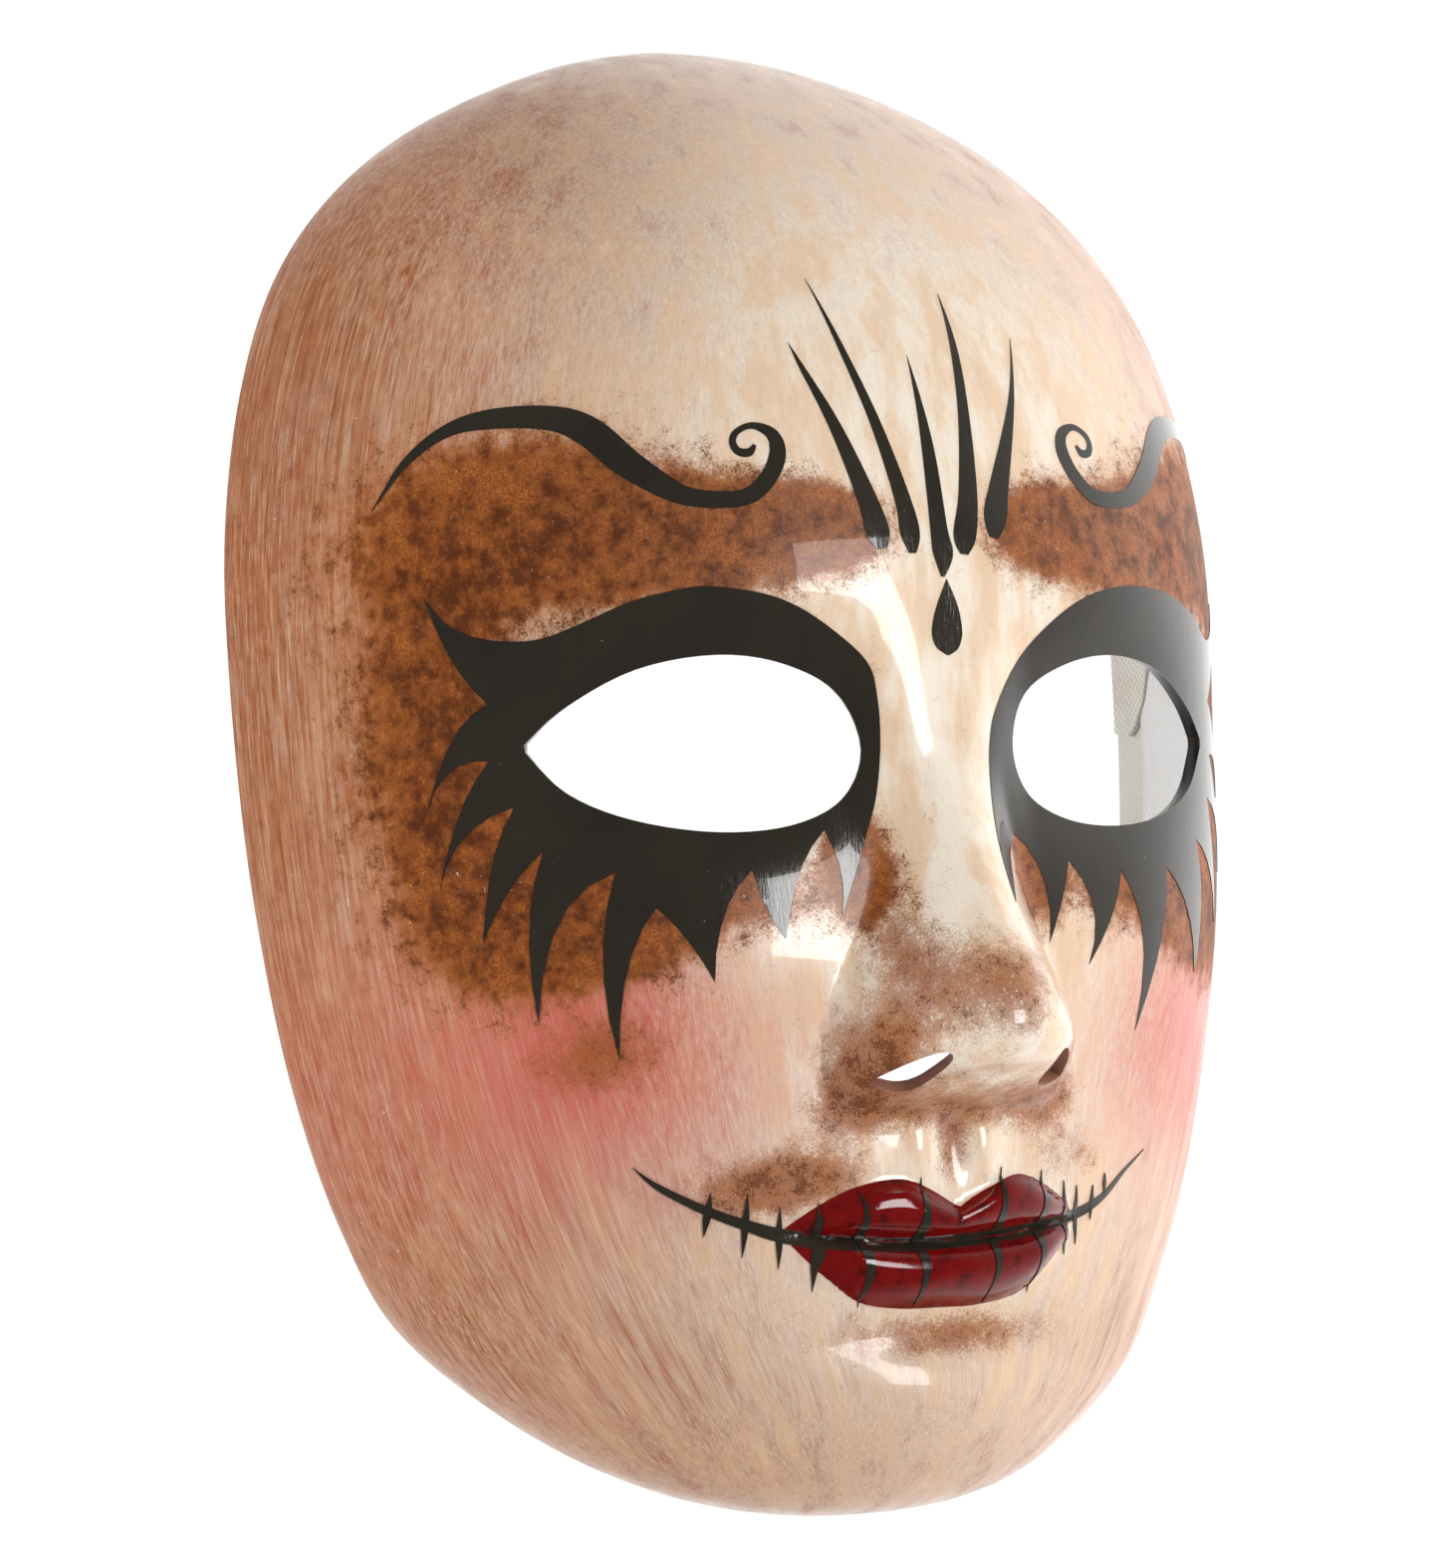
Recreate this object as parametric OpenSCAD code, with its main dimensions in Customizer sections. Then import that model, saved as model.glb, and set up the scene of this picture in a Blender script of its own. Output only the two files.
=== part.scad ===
// Full-face carnival mask of the volto kind: a thin moulded shell, its lining and the anchors of its ties.
// The mask looks along -Y with +Z up. The origin is the middle of the flat rim that rests around the head.

/* [Shell] */
// height from chin to crown
mask_height = 230; // [215:1:240]
// width across the rim at the temples
mask_width = 161; // [150:1:172]
// wall of the moulded shell
shell_wall = 1.8; // [1.4:0.1:2.2]
// grid steps across half of the face
steps_across = 20; // [12:1:22]
// grid steps from chin to crown
steps_up = 58; // [40:1:62]

/* [Nose] */
// how far the tip stands out from the cheeks
nose_height = 21; // [16:0.5:24]
// width across the wings
nose_width = 36; // [30:1:40]

/* [Lining] */
// thickness of the backing layer
lining_wall = 0.5; // [0.4:0.1:0.8]
// how much wider than the shell's holes the lining is cut
lining_relief = 1.5; // [1:0.25:2.5]

/* [Temple anchors] */
// height of the tie above the middle of the mask
tie_height = 30; // [16:1:34]
// bore of the tape loop that the tie passes through
loop_bore = 3; // [2.6:0.2:3.6]
// width of the woven tape
tape_width = 12; // [10:0.5:14]
// thickness of the woven tape
tape_wall = 0.8; // [0.6:0.1:1]
// height of the cloth patch
patch_height = 50; // [44:1:56]
// front-to-back length of the cloth patch
patch_length = 13; // [12:0.5:15]
// thickness of the cloth patch
patch_wall = 1; // [0.8:0.1:1.2]

/* [Hidden] */
nominal_height = 230;
nominal_width = 161;
scale_up = mask_height / nominal_height;
scale_wide = mask_width / nominal_width;

// Ribs of the face from under the chin to the crown. Each one runs from a point on the rim, given as half
// width and height, to a point on the middle line, given as depth in front of the rim and height.
ribs = [
    [0, -109, 0, -109],
    [21, -106, 20, -114.3],
    [42.5, -97, 42, -114],
    [59, -83.5, 54, -102.7],
    [67.3, -68, 58.5, -88],
    [72.9, -51, 62.5, -72],
    [76.6, -33, 66.5, -52],
    [79.3, -11, 70.5, -28],
    [80.5, 14, 72.5, 2],
    [80, 36, 73, 30],
    [76.3, 57.5, 68, 55],
    [69.5, 75.5, 58.5, 74],
    [58.3, 89.8, 45, 90],
    [42.8, 101, 30, 102],
    [22.5, 109.6, 14, 110.5],
    [0, 114.5, 0, 114.5],
];
rib_power = 2.2;

function bell(d, size) = exp(-pow(d / size, 2));
function ease(edge0, edge1, value) =
    let (t = min(1, max(0, (value - edge0) / (edge1 - edge0))))
    t * t * (3 - 2 * t);

// A smooth curve through a list of points, read at a place counted in points.
function along(points, place) =
    let (last = len(points) - 1)
    let (k = min(last - 1, floor(place)))
    let (t = place - k)
    let (a = points[max(0, k - 1)], b = points[k], c = points[k + 1], d = points[min(last, k + 2)])
    b + 0.5 * t * ((c - a) + t * ((2 * a - 5 * b + 4 * c - d) + t * (3 * (b - c) + d - a)));

// A smooth curve through [place, value] pairs whose places rise.
function slope(pairs, k) =
    let (low = pairs[max(0, k - 1)], high = pairs[min(len(pairs) - 1, k + 1)])
    (high[1] - low[1]) / (high[0] - low[0]);
function curve(pairs, place, k = 0) =
    place <= pairs[0][0] ? pairs[0][1] :
    k == len(pairs) - 1 ? pairs[k][1] :
    place > pairs[k + 1][0] ? curve(pairs, place, k + 1) :
    let (a = pairs[k], b = pairs[k + 1], gap = b[0] - a[0], t = (place - a[0]) / gap)
    let (s = t * t * (3 - 2 * t))
    a[1] + (b[1] - a[1]) * s + gap * t * (1 - t) * (slope(pairs, k) * (1 - t) - slope(pairs, k + 1) * t);

// Nose: share of its height down the middle line, half width of its foot, and how square its sides are.
nose_ridge = [
    [-59, 0], [-56.5, 0.08], [-53, 0.52], [-50, 0.86], [-46, 1], [-40, 0.9],
    [-30, 0.59], [-20, 0.32], [-11, 0.13], [-4, 0.03], [3, 0]
];
nose_foot = [[-58, 0.9], [-53, 1.1], [-46, 1.16], [-38, 1.02], [-25, 0.74], [-10, 0.58], [4, 0.6]];
nose_fall = [[-56, 0.75], [-46, 0.95], [-34, 1.3], [-20, 1.6]];
function nose(x, z) =
    let (u = min(1, x / (nose_width / 2 * curve(nose_foot, z))))
    nose_height * curve(nose_ridge, z) * pow(1 - u * u, curve(nose_fall, z));

// Mouth: the closed line between the lips, and how far each lip reaches from it.
lip_half = 25;
function lip_line(x) = -75.5 + 2.8 * pow(x / lip_half, 2);
function upper_lip(x) = curve([[0, 4.8], [4, 6.6], [9, 8.6], [14, 7.4], [20, 3.6], [25, 0.4]], x);
function lower_lip(x) = curve([[0, 9.5], [8, 9.6], [15, 8.2], [20, 5], [25, 0.4]], x);
function lip_swell(share) = share <= 0 || share >= 1 ? 0 : pow(sin(180 * share), 0.8);
function lips(x, z) =
    let (above = z - lip_line(x))
    let (fade = 1 - ease(14, lip_half + 1, x))
    let (upper = 2.4 * lip_swell(above / upper_lip(x)), lower = 3.4 * lip_swell(-above / lower_lip(x)))
    (upper + lower) * fade - 1.1 * bell(above, 1.6) * (1 - ease(20, 29, x));

// Each swelling is a height times one bell across the face and one up it, given as distance and size.
function socket(x, z) = -5.5 * bell(x - 30, 25) * bell(z + 3, 16) * ease(3, 17, x);
function brow(x, z) = 1.2 * bell(z - 22 + x / 12, 9) * bell(x - 28, 26);
function cheek(x, z) = 2 * bell(x - 44, 20) * bell(z + 30, 20);
function muzzle(x, z) = 2.2 * bell(x, 26) * bell(z + 70, 16);
function philtrum(x, z) = (0.9 * bell(x - 5.5, 2.6) - 1.1 * bell(x, 3)) * bell(z + 62, 5);
function chin(x, z) =
    3.5 * bell(x, 18) * bell(z + 99, 10) - 1.8 * bell(x, 18) * bell(z + 88.5, 4);

function relief(x, z) =
    nose(x, z) + socket(x, z) + brow(x, z) + cheek(x, z)
    + muzzle(x, z) + lips(x, z) + philtrum(x, z) + chin(x, z);

// The swellings die away over this share of a rib's depth beside the rim, and on ribs shallower than this.
rim_fade = 0.5;
pole_fade = 15;

// A point on the outer skin. The place is counted in ribs, and the turn goes from 0 at the middle to 90 at
// the rim.
function skin(place, turn) =
    let (rib = along(ribs, place))
    let (side = sign(turn) * pow(abs(sin(turn)), 2 / rib_power))
    let (front = pow(max(0, cos(turn)), 2 / rib_power))
    let (x = rib[0] * side)
    let (z = rib[1] + (rib[3] - rib[1]) * front)
    let (y = -rib[2] * front - relief(abs(x), z) * ease(0, rim_fade, front) * ease(0, pole_fade, rib[2]))
    [x * scale_wide, y, z * scale_up];

// Grid lines are closest together over the nose and lips.
column_power = 1.35;
function across(j) = 90 * sign(j) * pow(abs(j) / steps_across, column_power);
function upward(i) = curve([[0, 0], [0.12, 2.4], [0.68, 8], [1, len(ribs) - 1]], i / steps_up);
columns = [for (j = [-steps_across : steps_across]) across(j)];
outer_rows = [for (i = [0 : steps_up]) [for (turn = columns) skin(upward(i), turn)]];

function unit(v) = v / norm(v);
function inward(rows, i, j) =
    let (last_row = len(rows) - 1, last_column = len(rows[0]) - 1)
    i == 0 ? [0, 0, 1] :
    i == last_row ? [0, 0, -1] :
    let (wide = rows[i][min(last_column, j + 1)] - rows[i][max(0, j - 1)])
    let (high = rows[i + 1][j] - rows[i - 1][j])
    let (n = unit(cross(high, wide)))
    j == 0 || j == last_column ? unit([n[0], 0, n[2]]) : n;
function inset(rows, depth) =
    [for (i = [0 : len(rows) - 1])
        [for (j = [0 : len(rows[0]) - 1]) rows[i][j] + depth * inward(rows, i, j)]];

// The part of a grid between two rows and between two columns.
function part_of(rows, first_row, last_row, first_column, last_column) =
    [for (i = [first_row : last_row]) [for (j = [first_column : last_column]) rows[i][j]]];

// A closed solid between two skins with the same grid, the first one outermost.
module between_skins(front_rows, back_rows) {
    rows = len(front_rows);
    wide = len(front_rows[0]);
    back = rows * wide;
    points = concat([for (row = front_rows) each row], [for (row = back_rows) each row]);
    edge = concat(
        [for (i = [0 : rows - 2]) i * wide],
        [for (j = [0 : wide - 2]) (rows - 1) * wide + j],
        [for (i = [rows - 1 : -1 : 1]) i * wide + wide - 1],
        [for (j = [wide - 1 : -1 : 1]) j]
    );
    front_faces = [for (i = [0 : rows - 2]) for (j = [0 : wide - 2]) each
        let (a = i * wide + j)
        [[a, a + wide, a + 1], [a + 1, a + wide, a + wide + 1]]];
    back_faces = [for (face = front_faces) [face[2] + back, face[1] + back, face[0] + back]];
    edge_faces = [for (k = [0 : len(edge) - 1]) each
        let (a = edge[k], b = edge[(k + 1) % len(edge)])
        [[a, back + b, b], [a, back + a, back + b]]];
    polyhedron(points = points, faces = concat(front_faces, back_faces, edge_faces));
}

// Holes as seen from in front, on the mask's left. The eye runs from its inner end over the top to the outer
// corner and back underneath; the nostril runs from its pointed outer end over the top.
eye_points = [
    [13, -4], [16, 4], [24, 8.5], [34, 10.2], [45, 8.6], [54, 3.6], [59, -1.5],
    [54, -8.5], [46, -13], [35, -15.3], [24, -14.7], [16, -11]
];
// the outer corner, the only point where the eye's outline isn't smooth
eye_corner = 6;
nostril_points = [[16.8, -52.4], [13.5, -50], [10.4, -48.9], [9, -50.2], [10.2, -53.4], [13, -53.8]];
curve_steps = 4;
// The cutters start behind the skin and reach out past the nose.
eye_cut_start = 30;
nostril_cut_start = 60;
cut_length = 120;

// A closed outline that is smooth except at one point.
function smooth_outline(points, corner) =
    let (count = len(points))
    let (turned = [for (k = [0 : count]) points[(corner + k) % count]])
    [for (k = [0 : count * curve_steps - 1]) along(turned, k / curve_steps)];

module front_hole(outline, margin) {
    rotate([90, 0, 0])
        linear_extrude(cut_length)
            scale([scale_wide, scale_up])
                offset(delta = margin)
                    polygon(outline);
}
module both_sides() {
    for (side = [0, 1])
        mirror([side, 0, 0])
            children();
}
module face_holes(margin) {
    both_sides() {
        translate([0, -eye_cut_start, 0]) front_hole(smooth_outline(eye_points, eye_corner), margin);
        translate([0, -nostril_cut_start, 0]) front_hole(smooth_outline(nostril_points, 0), margin);
    }
}

// Shape of the cloth patch seen from the side: a lens whose straight edge lies just inside the rim.
rim_gap = 0.6;
patch_middle = 28;
patch_turn = 15;
patch_gap = 0.4;
function patch_outline(margin) =
    let (half = patch_height / 2 + margin)
    [for (turn = [-90 : patch_turn : 90])
        [-rim_gap - (patch_length + margin) * cos(turn), patch_middle + half * sin(turn)]];
module patch_column(margin) {
    multmatrix([[0, 0, 1, 0], [1, 0, 0, 0], [0, 1, 0, 0], [0, 0, 0, 1]])
        linear_extrude(mask_width)
            polygon(patch_outline(margin));
}

lining_outer = shell_wall;
lining_inner = shell_wall + lining_wall;
// the lining stops these rows short of the rim at chin and crown
lining_first_row = 5;
lining_last_row = steps_up - 4;
last_column = 2 * steps_across;
function lining_part(rows) = part_of(rows, lining_first_row, lining_last_row, 1, last_column - 1);

// rows and columns of the skin that the patches lie within
patch_first_share = 0.66;
patch_first_row = floor(steps_up * patch_first_share);
patch_last_row = steps_up - 2;
patch_first_column = steps_across + 6;
function patch_part(rows) = part_of(rows, patch_first_row, patch_last_row, patch_first_column, last_column);
patch_inner = shell_wall + patch_wall;
loop_outer = loop_bore / 2 + tape_wall;
// The loop stands clear of the patch, where the wall has come in a little from its widest rib.
wall_comes_in = 0.5;
loop_gap = 0.3;
loop_x = mask_width / 2 - wall_comes_in - patch_inner - loop_outer - loop_gap;
loop_y = -rim_gap - loop_outer - patch_gap;
tail_length = 9;
loop_sides = 48;
// how far the loop's cutter runs past each end
cut_past = 1;

module face_shell() {
    color([0.87, 0.77, 0.66])
        difference() {
            between_skins(outer_rows, inset(outer_rows, shell_wall));
            face_holes(0);
        }
}

module inner_lining() {
    color([0.82, 0.8, 0.77])
        difference() {
            between_skins(
                lining_part(inset(outer_rows, lining_outer)),
                lining_part(inset(outer_rows, lining_inner))
            );
            face_holes(lining_relief);
            both_sides() patch_column(patch_gap);
        }
}

module temple_patch_left() {
    color([0.72, 0.68, 0.62])
        intersection() {
            between_skins(
                patch_part(inset(outer_rows, shell_wall)),
                patch_part(inset(outer_rows, patch_inner))
            );
            patch_column(0);
        }
}
module temple_patch_right() {
    mirror([1, 0, 0]) temple_patch_left();
}

module tie_loop_left() {
    color([0.78, 0.75, 0.69])
        translate([loop_x, loop_y, tie_height - tape_width / 2])
            difference() {
                union() {
                    cylinder(r = loop_outer, h = tape_width, $fn = loop_sides);
                    translate([loop_outer - tape_wall, -tail_length, 0])
                        cube([tape_wall, tail_length, tape_width]);
                }
                translate([0, 0, -cut_past])
                    cylinder(d = loop_bore, h = tape_width + 2 * cut_past, $fn = loop_sides);
            }
}
module tie_loop_right() {
    mirror([1, 0, 0]) tie_loop_left();
}

face_shell();
inner_lining();
temple_patch_left();
temple_patch_right();
tie_loop_left();
tie_loop_right();
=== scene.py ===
# %% [markdown]
# A full-face carnival mask, moulded as a thin shell, painted by hand, aged with brown glaze and varnished.
# The CAD model fixes its size and place. This lesson dresses that frame: a finer skin over the same curves,
# the painted decoration as thin films of paint, a cloth lining and the small anchors of the ties.
# Everything is in metres in the frame of the CAD model: the mask looks along -Y and +Z is up.

# %% Load the frame
import math

import bmesh
import bpy
from mathutils import Matrix, Vector
from mathutils.bvhtree import BVHTree


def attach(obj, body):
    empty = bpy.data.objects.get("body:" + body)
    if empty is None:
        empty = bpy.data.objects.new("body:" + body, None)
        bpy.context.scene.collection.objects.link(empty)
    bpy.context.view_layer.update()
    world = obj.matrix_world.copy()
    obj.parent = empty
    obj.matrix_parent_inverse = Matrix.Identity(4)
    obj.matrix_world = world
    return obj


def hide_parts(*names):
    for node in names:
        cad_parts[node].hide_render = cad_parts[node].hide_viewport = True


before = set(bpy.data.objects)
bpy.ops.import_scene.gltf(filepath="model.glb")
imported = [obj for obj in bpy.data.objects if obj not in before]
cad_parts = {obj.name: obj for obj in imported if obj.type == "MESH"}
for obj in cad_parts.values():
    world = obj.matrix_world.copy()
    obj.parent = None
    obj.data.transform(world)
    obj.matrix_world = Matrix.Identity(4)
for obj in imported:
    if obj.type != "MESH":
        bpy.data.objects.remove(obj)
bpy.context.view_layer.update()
MM = 0.001
print("nodes of the frame:", sorted(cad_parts))

# %% [markdown]
# The shape of the face. On the real mask it comes out of a mould. A sculpted mesh could stand for the
# mould, but then the skin would not lie on the CAD solid, so the same few curves are used here: ribs from
# the rim to the middle line, and small swellings for nose, lips, cheeks and chin. All lengths in these
# curves are millimetres.

# %% Curves that the face is made of
RIBS = [
    (0, -109, 0, -109), (21, -106, 20, -114.3), (42.5, -97, 42, -114), (59, -83.5, 54, -102.7),
    (67.3, -68, 58.5, -88), (72.9, -51, 62.5, -72), (76.6, -33, 66.5, -52), (79.3, -11, 70.5, -28),
    (80.5, 14, 72.5, 2), (80, 36, 73, 30), (76.3, 57.5, 68, 55), (69.5, 75.5, 58.5, 74),
    (58.3, 89.8, 45, 90), (42.8, 101, 30, 102), (22.5, 109.6, 14, 110.5), (0, 114.5, 0, 114.5),
]
RIB_POWER = 2.2


def bell(distance, size):
    return math.exp(-((distance / size) ** 2))


def ease(low, high, value):
    t = min(1, max(0, (value - low) / (high - low)))
    return t * t * (3 - 2 * t)


def along(points, place):
    """A point on the smooth curve through the points, at a place counted in points."""
    last = len(points) - 1
    k = min(last - 1, int(place))
    t = place - k
    a, b, c, d = (points[max(0, k - 1)], points[k], points[k + 1], points[min(last, k + 2)])
    return [
        q + 0.5 * t * ((r - p) + t * ((2 * p - 5 * q + 4 * r - s) + t * (3 * (q - r) + s - p)))
        for p, q, r, s in zip(a, b, c, d)
    ]


def curve(pairs, place):
    """The value at a place on the smooth curve through (place, value) pairs."""
    if place <= pairs[0][0]:
        return pairs[0][1]
    if place >= pairs[-1][0]:
        return pairs[-1][1]
    k = max(i for i, pair in enumerate(pairs) if pair[0] <= place)

    def slope(i):
        low, high = pairs[max(0, i - 1)], pairs[min(len(pairs) - 1, i + 1)]
        return (high[1] - low[1]) / (high[0] - low[0])

    gap = pairs[k + 1][0] - pairs[k][0]
    t = (place - pairs[k][0]) / gap
    rise = (pairs[k + 1][1] - pairs[k][1]) * t * t * (3 - 2 * t)
    return pairs[k][1] + rise + gap * t * (1 - t) * (slope(k) * (1 - t) - slope(k + 1) * t)


# %% Swellings of the face
NOSE_HEIGHT, NOSE_HALF = 21, 18
NOSE_RIDGE = [
    (-59, 0), (-56.5, 0.08), (-53, 0.52), (-50, 0.86), (-46, 1), (-40, 0.9),
    (-30, 0.59), (-20, 0.32), (-11, 0.13), (-4, 0.03), (3, 0),
]
NOSE_FOOT = [(-58, 0.9), (-53, 1.1), (-46, 1.16), (-38, 1.02), (-25, 0.74), (-10, 0.58), (4, 0.6)]
NOSE_FALL = [(-56, 0.75), (-46, 0.95), (-34, 1.3), (-20, 1.6)]
LIP_HALF = 25
UPPER_LIP = [(0, 4.8), (4, 6.6), (9, 8.6), (14, 7.4), (20, 3.6), (25, 0.4)]
LOWER_LIP = [(0, 9.5), (8, 9.6), (15, 8.2), (20, 5), (25, 0.4)]


def nose(x, z):
    share = min(1, x / (NOSE_HALF * curve(NOSE_FOOT, z)))
    return NOSE_HEIGHT * curve(NOSE_RIDGE, z) * (1 - share * share) ** curve(NOSE_FALL, z)


def lip_swell(share):
    return 0 if share <= 0 or share >= 1 else math.sin(math.pi * share) ** 0.8


def lips(x, z):
    above = z + 75.5 - 2.8 * (x / LIP_HALF) ** 2
    swell = 2.4 * lip_swell(above / curve(UPPER_LIP, x)) + 3.4 * lip_swell(-above / curve(LOWER_LIP, x))
    return swell * (1 - ease(14, LIP_HALF + 1, x)) - 1.1 * bell(above, 1.6) * (1 - ease(20, 29, x))


def relief(x, z):
    """How far the face stands out from its plain ribs at a distance x from the middle line."""
    socket = -5.5 * bell(x - 30, 25) * bell(z + 3, 16) * ease(3, 17, x)
    brow = 1.2 * bell(z - 22 + x / 12, 9) * bell(x - 28, 26)
    cheek = 2 * bell(x - 44, 20) * bell(z + 30, 20)
    muzzle = 2.2 * bell(x, 26) * bell(z + 70, 16)
    philtrum = (0.9 * bell(x - 5.5, 2.6) - 1.1 * bell(x, 3)) * bell(z + 62, 5)
    chin = 3.5 * bell(x, 18) * bell(z + 99, 10) - 1.8 * bell(x, 18) * bell(z + 88.5, 4)
    return nose(x, z) + socket + brow + cheek + muzzle + philtrum + chin + lips(x, z)


# The swellings die away over this share of a rib's depth beside the rim, and on ribs shallower than this.
RIM_FADE, POLE_FADE = 0.5, 15


def skin(place, turn):
    """A point on the outer skin: place counts ribs from the chin, turn is -90 to 90 degrees across."""
    half, rim_z, depth, middle_z = along(RIBS, place)
    side = math.copysign(abs(math.sin(math.radians(turn))) ** (2 / RIB_POWER), turn)
    front = max(0, math.cos(math.radians(turn))) ** (2 / RIB_POWER)
    x, z = half * side, rim_z + (middle_z - rim_z) * front
    y = -depth * front - relief(abs(x), z) * ease(0, RIM_FADE, front) * ease(0, POLE_FADE, depth)
    return Vector((x, y, z)) * MM


# %% [markdown]
# The skin as a mesh. A flat grid has even, square cells, which take a varnish highlight without ripples,
# so the face starts as one grid whose points are then moved onto the curves. The cells are smallest at
# nose and lips.

# %% Lay a grid on the face
ROWS_UP = [(0, 0), (0.12, 2.4), (0.68, 8), (1, len(RIBS) - 1)]
COLUMN_POWER = 1.35


def face_grid(columns, rows):
    """A new mesh on the outer skin, as one open sheet that faces forward."""
    mesh = bmesh.new()
    bmesh.ops.create_grid(mesh, x_segments=columns, y_segments=rows, size=1)
    for v in mesh.verts:
        turn = math.copysign(90 * abs(v.co.x) ** COLUMN_POWER, v.co.x)
        v.co = skin(curve(ROWS_UP, (v.co.y + 1) / 2), turn)
    bmesh.ops.remove_doubles(mesh, verts=mesh.verts, dist=0.02 * MM)
    return mesh


shell_mesh = face_grid(176, 224)
skin_tree = BVHTree.FromBMesh(shell_mesh)
print("skin:", len(shell_mesh.faces), "faces")

# %% [markdown]
# Everything painted lies on the skin, so a point given as seen from in front, in millimetres, is dropped
# straight back onto it. The ray gives the place and the direction of the surface, and paint is lifted a
# little along it.

# %% Drop points onto the skin
FAR_IN_FRONT = -0.3


def on_skin(x, z, lift=0.0):
    """The point of the skin behind (x, z), in metres, lifted off it by lift."""
    place, normal, _, _ = skin_tree.ray_cast(Vector((x, FAR_IN_FRONT, z)), Vector((0, 1, 0)))
    if normal.y > 0:
        normal = -normal
    return place + normal * lift


def mirrored(points):
    return [(-x, *rest) for x, *rest in points]


def smooth_run(points, steps=5):
    """Points on the smooth open curve through these points."""
    count = (len(points) - 1) * steps
    return [tuple(along(points, k / steps)) for k in range(count)] + [tuple(points[-1])]


def bowed(corners, steps=5):
    """Corners and, between each two, the point that the edge bows through."""
    run = []
    for k in range(0, len(corners) - 2, 2):
        start, through, end = (Vector(p) for p in corners[k:k + 3])
        pull = 2 * through - (start + end) / 2
        for i in range(steps):
            t = i / steps
            run.append(tuple(start * (1 - t) ** 2 + pull * 2 * t * (1 - t) + end * t * t))
    return run + [tuple(corners[-1])]


# %% [markdown]
# The holes for eyes and nostrils. Cutting them with a boolean leaves long thin faces beside the cut,
# which show in the varnish. Here the faces inside the outline are taken out, and the points along the gap
# are slid to the line.

# %% Cut a hole along an outline
EYE_HOLE = [
    (59, -1.5), (54, -8.5), (46, -13), (35, -15.3), (24, -14.7), (16, -11), (13, -4),
    (16, 4), (24, 8.5), (34, 10.2), (45, 8.6), (54, 3.6), (59, -1.5),
]
NOSTRIL_HOLE = [
    (16.8, -52.4), (13.5, -50), (10.4, -48.9), (9, -50.2), (10.2, -53.4), (13, -53.8), (16.8, -52.4),
]


def inside(x, z, outline):
    found = False
    for (ax, az), (bx, bz) in zip(outline, outline[1:] + outline[:1]):
        if (az > z) != (bz > z) and x < ax + (z - az) * (bx - ax) / (bz - az):
            found = not found
    return found


def nearest(x, z, outline):
    """The point of a closed outline that is nearest to (x, z)."""
    best = None
    point = Vector((x, z))
    for start, end in zip(outline, outline[1:] + outline[:1]):
        start, step = Vector(start), Vector(end) - Vector(start)
        share = (point - start).dot(step) / max(step.length_squared, 1e-9)
        on_line = start + step * min(1, max(0, share))
        if best is None or (on_line - point).length < (best - point).length:
            best = on_line
    return best


def open_hole(mesh, outline, reach=1.6):
    """Takes out the faces inside an outline in millimetres and returns the points slid to its edge."""
    low_x, high_x = min(p[0] for p in outline), max(p[0] for p in outline)
    low_z, high_z = min(p[1] for p in outline), max(p[1] for p in outline)
    gone = []
    for face in mesh.faces:
        centre = face.calc_center_median() / MM
        if low_x < centre.x < high_x and low_z < centre.z < high_z and inside(centre.x, centre.z, outline):
            gone.append(face)
    bmesh.ops.delete(mesh, geom=gone, context="FACES")
    moved = []
    for v in mesh.verts:
        x, z = v.co.x / MM, v.co.z / MM
        near = low_x - reach < x < high_x + reach and low_z - reach < z < high_z + reach
        if near and v.is_boundary:
            target = nearest(x, z, outline)
            if (target - Vector((x, z))).length < reach:
                v.co.x, v.co.z = target.x * MM, target.y * MM
                moved.append(v)
    return moved


eye_right = smooth_run(EYE_HOLE)[:-1]
nostril_right = smooth_run(NOSTRIL_HOLE)[:-1]
holes = [eye_right, mirrored(eye_right), nostril_right, mirrored(nostril_right)]
for hole in holes:
    edge = open_hole(shell_mesh, hole)
    bmesh.ops.remove_doubles(shell_mesh, verts=edge, dist=0.05 * MM)
    for v in (v for v in edge if v.is_valid):
        v.co = on_skin(v.co.x, v.co.z)
print("shell with its holes:", len(shell_mesh.faces), "faces")

# %% [markdown]
# Finishes are node materials. A socket is wrapped so that masks can be written as sums: each operator
# adds its Math node. Colours are mixed with Mix nodes, and every other node comes from one method.

# %% A socket that can be used in sums
class Wire:
    """A shader value that can stand in an expression."""

    def __init__(self, finish, socket):
        self.finish = finish
        self.socket = socket

    def reckon(self, operation, *values):
        return self.finish.node("Math", {"operation": operation}, dict(enumerate(values)))

    def __add__(self, other):
        return self.reckon("ADD", self, other)

    def __sub__(self, other):
        return self.reckon("SUBTRACT", self, other)

    def __rsub__(self, other):
        return self.reckon("SUBTRACT", other, self)

    def __mul__(self, other):
        return self.reckon("MULTIPLY", self, other)

    def __truediv__(self, other):
        return self.reckon("DIVIDE", self, other)

    def __pow__(self, other):
        return self.reckon("POWER", self, other)

    def __abs__(self):
        return self.reckon("ABSOLUTE", self)

    __radd__ = __add__
    __rmul__ = __mul__

    def most(self, other):
        return self.reckon("MAXIMUM", self, other)

    def least(self, other):
        return self.reckon("MINIMUM", self, other)


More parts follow.
